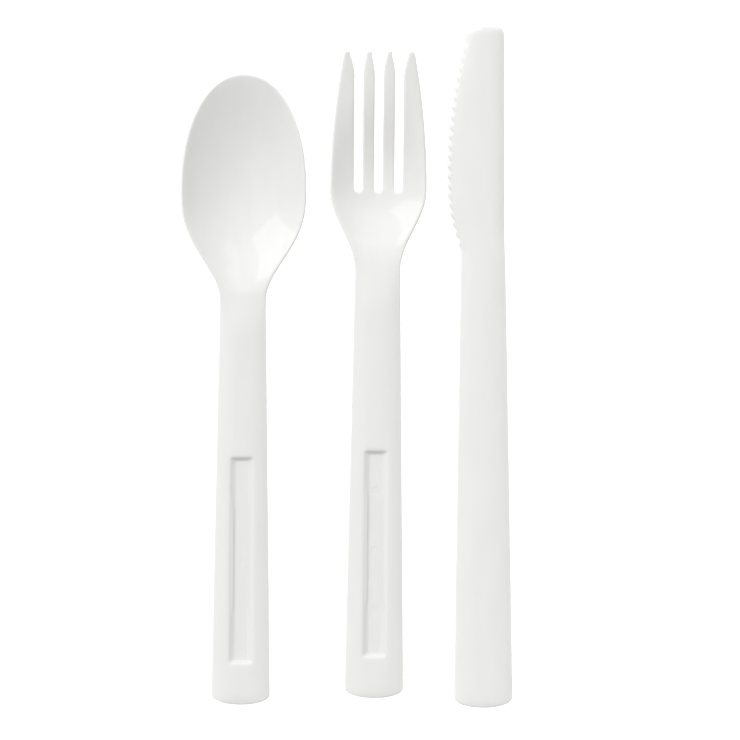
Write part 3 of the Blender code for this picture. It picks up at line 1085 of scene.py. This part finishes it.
@dataclass
class Spoon(RecessedUtensil):
    """The spoon: a handle with a recess, and a dished bowl in line with it."""

    bowl_width: float = 0.0351
    tip_reach: float = 0.0324
    bowl_length: float = 0.0629
    fullness: float = 2.12
    swell: float = 1.35
    depth: float = 0.0062
    tip_power: float = 1.2
    neck_power: float = 1.35
    neck_reach: float = 0.0285

    def __post_init__(self) -> None:
        """Works out the places of the neck and of the widest part."""
        self.neck = self.length - self.bowl_length
        self.widest = self.length - self.tip_reach
        self.rise = (self.depth + self.handle.wall - self.handle.edge) / self.widest

    def half(self, side: Side, place: float) -> float:
        """Finds the half width: the handle, then a swell into the bowl's rounded end.

        Args:
            side: The side, which makes no difference here.
            place: The distance from the handle's end.

        Returns:
            The half width.
        """
        if place <= self.neck:
            return self.handle.half(place)
        if place >= self.widest:
            share = (place - self.widest) / self.tip_reach
            return self.bowl_width / 2 * rounded(share, self.fullness)
        share = ((self.widest - place) / (self.widest - self.neck)) ** self.swell
        swell = (1.0 + math.cos(math.pi * share)) / 2
        return mix(self.handle.half(self.neck), self.bowl_width / 2, swell)

    def edge(self, place: float) -> float:
        """Height of the skin's edge, which rises evenly from the handle's end to the tip."""
        return self.handle.edge + self.rise * place

    def dome(self, place: float) -> float:
        """The handle's dome, which fades out at the neck."""
        return self.handle.crown(place) * (1.0 - ease(self.neck - 0.012, self.neck + 0.008, place))

    def dish(self, place: float) -> float:
        """Finds the depth of the bowl below its rim.

        Args:
            place: The distance from the handle's end.

        Returns:
            The depth at the axis.
        """
        if place >= self.widest:
            share = (place - self.widest) / (self.tip_reach - self.rim_fillet)
            return self.depth * max(1.0 - share * share, 0.0) ** self.tip_power
        share = min((self.widest - place) / self.neck_reach, 1.0)
        return self.depth * (1.0 - share * share) ** self.neck_power

    def rows(self) -> list[float]:
        """Spaces the grid's rows, closer at the ends, the recess and the bowl.

        Returns:
            Their places.
        """
        spans = self.recess.spans() + [
            (self.neck - 0.016, 0.0026),
            (self.widest, 0.0012),
            (self.length - 0.010, 0.0012),
            (self.length - self.tip_cap, 0.0007),
        ]
        return stations(FIRST_ROW, spans)

    def anchors(self, plan: Plan, side: Side, place: float) -> dict[int, float]:
        """Keeps a line on the recess's mouth, and spreads the lines evenly over the bowl.

        Args:
            plan: The grid.
            side: The side.
            place: The row's place.

        Returns:
            The distance of each such line from the axis, by its number.
        """
        half = plan.half(side, place)
        even = half * MOUTH_COLUMN / COLUMNS
        far = self.recess.mouth[1]
        share = 1.0 - ease(far, far + 0.035, place)
        mouth = mix(even, self.mouth_half(plan), share)
        return {0: 0.0, MOUTH_COLUMN: mouth, COLUMNS: half}


@dataclass
class Fork(RecessedUtensil):
    """The fork: a handle with a recess, and a dished head with four tines."""

    recess: Recess = field(
        default_factory=lambda: Recess(
            bead_end=0.0566, mark=Mark.DISC, mark_places=(0.0246, 0.0410, 0.0578)
        )
    )
    head_width: float = 0.0270
    tip_width: float = 0.0196
    tip_reach: float = 0.0387
    head_length: float = 0.0610
    tip_power: float = 1.95
    head_dish: float = 0.0034
    tip_dish: float = 0.0003
    thickness: float = 0.0015
    drop: float = 0.0018
    lift: float = 0.0032
    dip_reach: float = 0.0385
    bend: float = 0.0080
    rim: float = 0.0011
    rim_fillet: float = 0.00065
    rim_wall: float = 0.00075
    slot_width: float = 0.0022
    slot_length: float = 0.0392
    slot_pitch: float = 0.00564
    point: float = 0.0062
    tine_narrowing: float = 0.00079
    outer_narrowing: float = 0.00120
    tip_cap: float = 0.0009
    tip_bend: float = 0.0018
    dip: float = field(init=False)
    slot_root: float = field(init=False)

    def __post_init__(self) -> None:
        """Works out the places along the head."""
        self.neck = self.length - self.head_length
        self.widest = self.length - self.tip_reach
        self.dip = self.length - self.dip_reach
        self.slot_root = self.length - self.slot_length
        low = self.head_dish + self.thickness + self.drop
        self.rise = (low - self.handle.edge) / self.dip

    def half(self, side: Side, place: float) -> float:
        """Finds the half width: the handle, then a swell into the head, which narrows again.

        Args:
            side: The side, which makes no difference here.
            place: The distance from the handle's end.

        Returns:
            The half width.
        """
        if place <= self.neck:
            return self.handle.half(place)
        if place < self.widest:
            share = (place - self.neck) / (self.widest - self.neck)
            swell = (1.0 - math.cos(math.pi * share)) / 2
            return mix(self.handle.half(self.neck), self.head_width / 2, swell)
        share = ((place - self.widest) / self.tip_reach) ** self.tip_power
        return mix(self.head_width, self.tip_width, share) / 2

    def edge(self, place: float) -> float:
        """Finds the height of the skin's edge: it dips behind the tines and rises to the tips.

        Args:
            place: The distance from the handle's end.

        Returns:
            The height above the table.
        """
        line = self.handle.edge + self.rise * place
        fall = self.drop * ease(self.neck - 0.004, self.dip + 0.002, place)
        slope = self.lift / (math.hypot(self.dip_reach, self.bend) - self.bend)
        climb = slope * (math.hypot(max(place - self.dip, 0.0), self.bend) - self.bend)
        return line - fall + climb

    def dome(self, place: float) -> float:
        """The handle's dome, which fades out at the neck."""
        return self.handle.crown(place) * (1.0 - ease(self.neck - 0.012, self.neck + 0.006, place))

    def dish(self, place: float) -> float:
        """Finds how far the head is hollowed.

        Args:
            place: The distance from the handle's end.

        Returns:
            The depth at the axis.
        """
        deep = self.head_dish * ease(self.neck - 0.001, self.widest + 0.0015, place)
        shallow = ease(self.widest + 0.0005, self.length - 0.008, place)
        return deep - (self.head_dish - self.tip_dish) * shallow

    def wall(self, place: float) -> float:
        """The wall, thicker in the head."""
        return mix(self.handle.wall, self.thickness, ease(self.neck - 0.01, self.neck + 0.01, place))

    def slot_row(self) -> float:
        """The place of the row where the gaps between the tines start."""
        return self.slot_root - self.rim_fillet

    def rows(self) -> list[float]:
        """Spaces the grid's rows, closer at the ends, the recess, the gaps' roots and the tips.

        Returns:
            Their places.
        """
        root = self.slot_row()
        spans = self.recess.spans() + [
            (self.neck - 0.014, 0.0026),
            (root - 0.0016, 0.0012),
            (root, 0.0004),
            (root + 0.0020, 0.00025),
            (self.length - self.point - 0.001, 0.0014),
            (self.length - self.tip_cap - 0.0010, 0.0006),
            (self.length - self.tip_cap, 0.0003),
        ]
        return stations(FIRST_ROW, spans)

    def tine_edges(self, inset: float, place: float) -> tuple[float, float, float]:
        """Finds the edges beside the gaps, right of the axis.

        Args:
            inset: How far the grid lies inside the real edge.
            place: The place along the fork.

        Returns:
            The centre gap's edge, then the side gap's two edges.
        """
        share = (place - self.length + self.point) / (self.point - self.tip_cap)
        share = min(max(share, 0.0), 1.0)
        half = self.slot_width / 2
        corner_to = place - self.slot_root + inset
        round_off = 0.0
        if corner_to < half + inset:
            angle = HALF_CORNER * (1.0 - max(corner_to, 0.0) / (half + inset))
            round_off = (half + inset) * (1.0 - math.cos(angle))
        return (
            half + inset - round_off + self.tine_narrowing * share,
            self.slot_pitch - half - inset + round_off - self.tine_narrowing * share,
            self.slot_pitch + half + inset - round_off + self.outer_narrowing * share,
        )

    def anchors(self, plan: Plan, side: Side, place: float) -> dict[int, float]:
        """Keeps lines on the recess's mouth and on the tines' edges.

        Args:
            plan: The grid.
            side: The side.
            place: The row's place.

        Returns:
            The distance of each such line from the axis, by its number.
        """
        half = plan.half(side, place)
        root = self.slot_row()
        start = max(place, root)
        lines = list(self.tine_edges(plan.distance(start), start))
        if place < root - TINY:
            widest = plan.half(side, root)
            head = [half * edge / widest for edge in lines]
            mouth = self.mouth_half(plan)
            tail = [mouth / 3, mouth, mix(mouth, half, 0.5)]
            far = self.recess.mouth[1]
            share = ease(far, far + 0.050, place)
            lines = [mix(a, b, share) for a, b in zip(tail, head)]
        return {0: 0.0, **dict(zip(GAP_LINES, lines)), COLUMNS: half}

    def is_gap(self, rows: list[float], row: int, column: int) -> bool:
        """The three gaps between the tines."""
        open_column = -2 <= column < 2 or 6 <= column < 10 or -10 <= column < -6
        return open_column and rows[row] >= self.slot_row() - TINY

    def pinned(self, plan: Plan, row: int, column: int) -> tuple[float, float] | None:
        """Rounds the recess's corners, the gaps' roots and the tines' tips.

        Args:
            plan: The grid.
            row: The point's row.
            column: The point's line.

        Returns:
            Its position across and along, or None if it follows no such curve.
        """
        place = plan.rows[row]
        side = -1.0 if column < 0 else 1.0
        line = abs(column)
        inset = plan.distance(place)
        if abs(place - self.slot_row()) < TINY or (
            self.slot_row() < place < self.slot_root + self.slot_width / 2
            and line in GAP_LINES
        ):
            middle, first, last = (0.0, 0, 2) if line <= 2 else (self.slot_pitch, 6, 10)
            if first <= line <= last:
                return self.gap_root(side, line, place, middle, inset)
        if row >= len(plan.rows) - 4 and (2 <= line <= 6 or 10 <= line <= COLUMNS):
            return self.tine_tip(plan, row, column, inset)
        return super().pinned(plan, row, column)

    def gap_root(
        self, side: float, line: int, place: float, middle: float, inset: float
    ) -> tuple[float, float]:
        """Finds a point on the half circle at a gap's root.

        Args:
            side: The sign of its x.
            line: Its grid line, right of the axis.
            place: The place of its row.
            middle: The gap's middle, right of the axis.
            inset: How far the grid lies inside the real edge.

        Returns:
            The position across and along.
        """
        radius = self.slot_width / 2 + inset
        centre = self.slot_root + self.slot_width / 2
        u = line / 2 if middle == 0.0 else (line - 8) / 2
        if abs(place - self.slot_row()) < TINY:
            angle = math.radians(90 - 45 * abs(u))
        else:
            angle = HALF_CORNER * (1.0 - (place - self.slot_root + inset) / radius)
            angle = max(angle, 0.0)
            if place >= centre:
                return side * (middle + math.copysign(radius, u)), place
        x = math.copysign(radius * math.cos(angle), u) if u else 0.0
        return side * (middle + x), centre - radius * math.sin(angle)

    def tine_tip(self, plan: Plan, row: int, column: int, inset: float) -> tuple[float, float]:
        """Finds a point on a tine's rounded tip.

        Args:
            plan: The grid.
            row: The point's row.
            column: The point's line.
            inset: How far the grid lies inside the real edge.

        Returns:
            The position across and along.
        """
        line = abs(column)
        low, high = (2, 6) if line <= 6 else (10, COLUMNS)
        side = -1 if column < 0 else 1
        left, right = plan.across(row, side * low), plan.across(row, side * high)
        share = (line - (low + high) / 2) / ((high - low) / 2)
        blend = ease(0.0, 1.0, (row - (len(plan.rows) - 5)) / 4)
        angle = share * math.pi / 2
        spread = mix(share, math.sin(angle), blend)
        cap = (self.tip_cap - inset) * math.cos(angle) * blend
        return (left + right) / 2 + (right - left) / 2 * spread, plan.rows[row] + cap


@dataclass
class Knife(Utensil):
    """The knife: a handle without a recess, and a blade with teeth on its left edge."""

    blade_length: float = 0.0625
    belly: float = 0.0103
    belly_reach: float = 0.0414
    heel_power: float = 2.4
    tip_narrowing: float = 0.0060
    tip_power: float = 1.95
    spine: float = 0.0060
    spine_corner: float = 0.0022
    edge_corner_width: float = 0.0030
    edge_corner_length: float = 0.0018
    blade_edge: float = 0.0028
    blade_wall: float = 0.0009
    blade_fillet: float = 0.00045
    heel_blend: float = 0.010  # how far before and past the heel the handle turns into the blade
    bevel_drop: float = 0.00025
    bevel_width: float = 0.0012
    bevel_softness: float = 0.0004
    edge_thickness: float = 0.0005
    tooth_pitch: float = 0.00272
    tooth_depth: float = 0.00078
    tooth_count: int = 21
    tooth_start: float = 0.0035
    tooth_lean: float = 1.25
    tooth_steps: int = 8
    flute_reach: float = 0.0012
    flute_depth: float = 0.0004
    flute_start: float = 0.0003  # how far outside the edge a flute begins
    back_bevel_drop: float = 0.0002
    back_bevel_width: float = 0.0011
    heel: float = field(init=False)
    widest: float = field(init=False)

    def __post_init__(self) -> None:
        """Works out the places along the blade."""
        self.heel = self.length - self.blade_length
        self.widest = self.length - self.belly_reach

    def cutting(self, place: float) -> float:
        """Finds the distance from the axis to the line of the tooth tips.

        Args:
            place: The distance from the handle's end.

        Returns:
            The distance.
        """
        if place <= self.heel:
            return self.handle.half(place)
        if place < self.widest:
            share = ((self.widest - place) / (self.widest - self.heel)) ** self.heel_power
            return mix(self.belly, self.handle.half(self.heel), share)
        share = (place - self.widest) / self.belly_reach
        return self.belly - self.tip_narrowing * share**self.tip_power

    def gullet(self, place: float) -> float:
        """Finds how deep the gullet between two teeth is at a place.

        Args:
            place: The distance from the handle's end.

        Returns:
            The share of a tooth's depth: 0 at a tooth's tip.
        """
        steps = (self.length - self.tooth_start - place) / self.tooth_pitch
        if not 0.0 < steps < self.tooth_count:
            return 0.0
        return math.sin(math.pi * (steps % 1.0) ** self.tooth_lean)

    def half(self, side: Side, place: float) -> float:
        """Finds the half width, on the cutting side without its gullets.

        Args:
            side: The left side is the cutting one, the right side the spine's.
            place: The distance from the handle's end.

        Returns:
            The half width.
        """
        if side is Side.LEFT:
            start = self.length - self.edge_corner_length
            off = 1.0 - rounded((place - start) / self.edge_corner_length, 2.0)
            return self.cutting(place) - self.edge_corner_width * off
        start = self.length - self.spine_corner
        off = 1.0 - rounded((place - start) / self.spine_corner, 2.0)
        width = mix(self.handle.half(place), self.spine, self.past_heel(place))
        return width - self.spine_corner * off

    def past_heel(self, place: float) -> float:
        """0 before the heel, 1 past it."""
        return ease(self.heel - self.heel_blend, self.heel + self.heel_blend, place)

    def edge(self, place: float) -> float:
        """Height of the skin's edge."""
        return mix(self.handle.edge, self.blade_edge, self.past_heel(place))

    def dome(self, place: float) -> float:
        """The handle's dome, which runs on over the blade."""
        near = max(1.0 - (self.length - place) / self.handle.end_slope, 0.0)
        return self.handle.crown(place) * (1.0 - self.handle.end_fall * near**2)

    def blade(self, place: float) -> float:
        """0 on the handle, 1 on the blade."""
        return ease(self.heel - 0.002, self.heel + 0.012, place)

    def relief(self, x: float, place: float) -> float:
        """Finds what the bevels along both edges take off, and the flutes at the gullets.

        Args:
            x: The position across.
            place: The distance from the handle's end.

        Returns:
            How much lower the skin lies.
        """
        soft = self.bevel_softness
        if x >= 0.0:
            inward = self.half(Side.RIGHT, min(place, self.length - self.spine_corner)) - x
            fall = ramp(self.back_bevel_width - inward, soft) / self.back_bevel_width
            return self.back_bevel_drop * fall * self.blade(place)
        inward = self.cutting(place) + x
        fall = ramp(self.bevel_width - inward, soft) / self.bevel_width
        depth = self.gullet(place)
        from_edge = inward - self.tooth_depth * depth
        near = 1.0 - ease(-self.flute_start, self.flute_reach, from_edge)
        flute = self.flute_depth * depth * near
        return (self.bevel_drop * fall + flute) * self.blade(place)

    def skirt(self, x: float, place: float) -> float:
        """Finds how far the side wall reaches down: to the table, but not along the teeth.

        Args:
            x: The position across.
            place: The distance from the handle's end.

        Returns:
            The distance below the skin's edge.
        """
        thin = ease(0.0, self.spine, -x)
        full = self.edge(place) - self.relief(x, place)
        return mix(full, self.edge_thickness, self.blade(place) * thin)

    def wall(self, place: float) -> float:
        """The wall, thinner in the blade."""
        return mix(self.handle.wall, self.blade_wall, self.blade(place))

    def fillet(self, place: float) -> float:
        """The rounded edge, fine along the blade."""
        return mix(self.handle.fillet, self.blade_fillet, self.blade(place))

    def rows(self) -> list[float]:
        """Spaces the grid's rows, with several for each tooth.

        Returns:
            Their places.
        """
        last_tooth = self.length - self.tooth_start
        first_tooth = last_tooth - self.tooth_count * self.tooth_pitch
        spans = [
            (0.0125, 0.0008),
            (self.heel - 0.012, 0.0030),
            (first_tooth, 0.0008),
            (last_tooth, self.tooth_pitch / self.tooth_steps),
            (self.length - self.tip_cap, 0.0005),
        ]
        return stations(FIRST_ROW, spans)

    def anchors(self, plan: Plan, side: Side, place: float) -> dict[int, float]:
        """Spreads the lines evenly, closer on the bevel along the teeth.

        Args:
            plan: The grid.
            side: The side.
            place: The row's place.

        Returns:
            The distance of some lines from the axis, by their number.
        """
        half = plan.half(side, place)
        if side is Side.RIGHT:
            return {0: 0.0, COLUMNS: half}
        edge = half - self.tooth_depth * self.gullet(place)
        bevel = max(half - self.bevel_width * 1.1, half * 0.45)
        even = half * BEVEL_COLUMN / COLUMNS
        return {0: 0.0, BEVEL_COLUMN: mix(even, bevel, self.blade(place)), COLUMNS: edge}


@dataclass(frozen=True)
class Panel:
    """A bright four-cornered panel of the light tent, far away, with its corners as directions."""

    corners: tuple[tuple[float, float, float], ...]
    brightness: float
    softness: float = 0.004

    def glow(
        self, tree: bpy.types.NodeTree, way: bpy.types.NodeSocket
    ) -> bpy.types.NodeSocket:
        """Adds the nodes that tell how bright the panel is in a direction.

        Args:
            tree: The world's node tree.
            way: The direction.

        Returns:
            The panel's brightness there: 0 outside it.
        """
        inside: bpy.types.NodeSocket | None = None
        for start, end in zip(self.corners, self.corners[1:] + self.corners[:1]):
            edge = add_node(
                tree, "ShaderNodeVectorMath", {"operation": "DOT_PRODUCT"}, {"Vector": way}
            )
            edge.inputs[1].default_value = Vector(start).cross(Vector(end)).normalized()
            within = edge.outputs["Value"]
            if inside:
                both = add_node(tree, "ShaderNodeMath", {"operation": "MINIMUM"})
                tree.links.new(inside, both.inputs[0])
                tree.links.new(within, both.inputs[1])
                within = both.outputs["Value"]
            inside = within
        glow = add_node(
            tree,
            "ShaderNodeMapRange",
            links={"Value": inside},
            **{"From Min": -self.softness, "From Max": self.softness, "To Max": self.brightness},
        )
        return glow.outputs["Result"]


@dataclass
class Studio:
    """The floor, the light and the camera, straight above the set."""

    view_x: float = 0.00642
    view_y: float = -0.00083
    view_width: float = 0.2056
    view_plane: float = 0.0038
    lens: float = 400.0  # long, so that near and far parts keep one scale
    sensor: float = 36.0
    floor_size: float = 8.0
    floor_colour: str = "F4F4F3"
    floor_glow: float = 0.52
    surround: float = 0.55  # the tent's brightness at the horizon
    surround_slope: tuple[float, float, float] = (-0.28, 0.66, 0.62)  # its rise towards +X, +Y, +Z
    panels: tuple[Panel, ...] = (
        Panel(
            (
                (-0.186, 0.436, 0.880),
                (-0.545, 0.585, 0.601),
                (-0.857, 0.377, 0.351),
                (-0.667, 0.187, 0.722),
            ),
            brightness=1.2,
        ),
        Panel(
            (
                (0.420, 0.440, 0.795),
                (0.400, 0.500, 0.770),
                (0.070, 0.570, 0.820),
                (0.070, 0.500, 0.863),
            ),
            brightness=0.7,
        ),
    )

    def set_up(self) -> None:
        """Adds the floor, the light and the camera."""
        self.lay_floor()
        self.hang_tent()
        bpy.context.scene.view_settings.view_transform = "Standard"
        self.aim_camera()

    def hang_tent(self) -> None:
        """Surrounds the set with a white light tent, brighter towards the upper left."""
        world = bpy.data.worlds.new("light_tent")
        world.use_nodes = True
        tree = world.node_tree
        way = add_node(tree, "ShaderNodeTexCoord")
        slope = add_node(
            tree,
            "ShaderNodeVectorMath",
            {"operation": "DOT_PRODUCT"},
            {"Vector": way.outputs["Generated"]},
        )
        slope.inputs[1].default_value = self.surround_slope
        level = add_node(tree, "ShaderNodeMath", {"operation": "ADD"})
        level.inputs[1].default_value = self.surround
        tree.links.new(slope.outputs["Value"], level.inputs[0])
        for panel in self.panels:
            bright = add_node(tree, "ShaderNodeMath", {"operation": "ADD"})
            tree.links.new(level.outputs["Value"], bright.inputs[0])
            tree.links.new(panel.glow(tree, way.outputs["Generated"]), bright.inputs[1])
            level = bright
        background = tree.nodes["Background"]
        background.inputs["Color"].default_value = (1.0, 1.0, 1.0, 1.0)
        tree.links.new(level.outputs["Value"], background.inputs["Strength"])
        bpy.context.scene.world = world

    def lay_floor(self) -> None:
        """Lays the pale floor under the set."""
        mesh = bmesh.new()
        bmesh.ops.create_grid(mesh, x_segments=1, y_segments=1, size=self.floor_size / 2)
        data = bpy.data.meshes.new("floor")
        mesh.to_mesh(data)
        mesh.free()
        floor = bpy.data.objects.new("floor", data)
        bpy.context.scene.collection.objects.link(floor)
        material = bpy.data.materials.new("matt_white_acrylic")
        material.use_nodes = True
        shader = material.node_tree.nodes["Principled BSDF"]
        shader.inputs["Base Color"].default_value = linear(self.floor_colour)
        shader.inputs["Roughness"].default_value = 0.8
        shader.inputs["Emission Color"].default_value = (1.0, 1.0, 1.0, 1.0)
        shader.inputs["Emission Strength"].default_value = self.floor_glow
        data.materials.append(material)
        floor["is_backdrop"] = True

    def aim_camera(self) -> None:
        """Hangs the camera straight above the set, upright to it."""
        camera = bpy.data.cameras.new("camera")
        camera.lens = self.lens
        camera.sensor_width = self.sensor
        camera.clip_end = 20.0
        made = bpy.data.objects.new("camera", camera)
        bpy.context.scene.collection.objects.link(made)
        height = self.view_width * self.lens / self.sensor
        made.location = (self.view_x, self.view_y, self.view_plane + height)
        bpy.context.scene.camera = made


def corners() -> list[list[float]]:
    """The lowest and the highest corner of what is shown, as plain lists."""
    return [[float(value) for value in corner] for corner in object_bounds()]


def main() -> None:
    """Builds the set and the studio."""
    logging.basicConfig(level=logging.INFO, format="%(message)s")
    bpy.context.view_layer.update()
    fork_x = 0.00744  # the other two are placed from the fork
    set_of = [
        Spoon("spoon", 0.1754, x=fork_x - 0.03704, y=-0.09394, turn=math.radians(-0.36)),
        Fork("fork", 0.1800, x=fork_x, y=-0.09212, turn=math.radians(-0.52)),
        Knife("knife", 0.1896, x=fork_x + 0.03043, y=-0.09480),
    ]
    for utensil in set_of:
        piece = utensil.build()
        LOG.info("%s: %d faces", piece.name, len(piece.data.polygons))
    Studio().set_up()
    LOG.info("studio: floor, light tent and camera")


if __name__ == "__main__":
    main()
